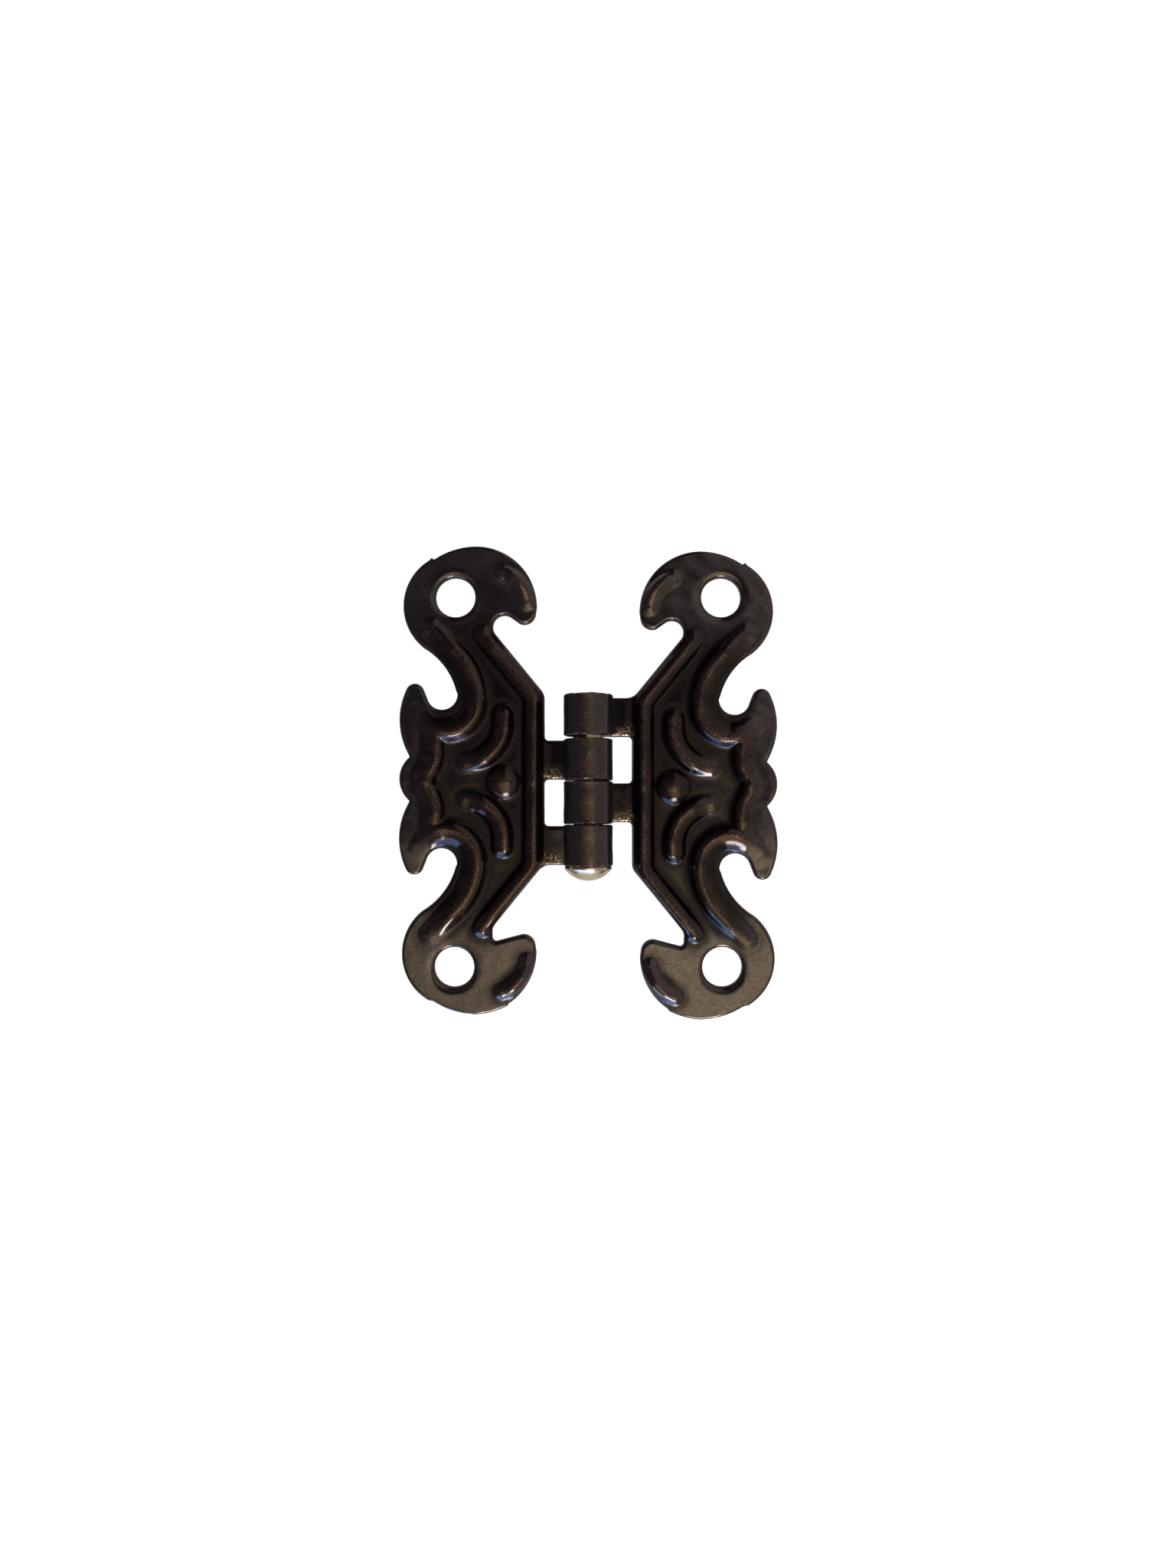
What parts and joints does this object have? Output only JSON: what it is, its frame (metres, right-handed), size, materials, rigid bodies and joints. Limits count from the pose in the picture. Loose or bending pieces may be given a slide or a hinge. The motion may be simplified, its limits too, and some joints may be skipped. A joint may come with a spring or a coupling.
{
  "type": "door hinge",
  "caption": "Ornamental surface-mount butt hinge: stamped sheet leaves with scrolled beads, knuckles rolled from the leaf tabs, and a headed pin.",
  "frame": {"origin": "the point on the back plane under the barrel's axis, midway between the four screw holes, with the hinge open flat", "axes": "+Y along the barrel, away from the pin's head; +Z out of the decorated face; +X towards the right leaf, which has the end knuckle farthest from the pin's head"},
  "size_m": [0.0412, 0.0515, 0.0053],
  "materials": {
    "leaf_bronze": "oxidised antique bronze over stamped steel, satin, rubbed reddish brown and brassy along the crests and edges",
    "pin_metal": "bright pale plated steel"
  },
  "bodies": {
    "left_leaf": {"left_leaf": "leaf_bronze", "hinge_pin": "pin_metal"},
    "right_leaf": {"right_leaf": "leaf_bronze"}
  },
  "joints": [
    {"name": "leaf_swing", "type": "hinge", "parent": "left_leaf", "child": "right_leaf", "pos_m": [0, 0, 0.00265], "axis": [0, -1, 0], "range_deg": [-116, 180]}
  ]
}
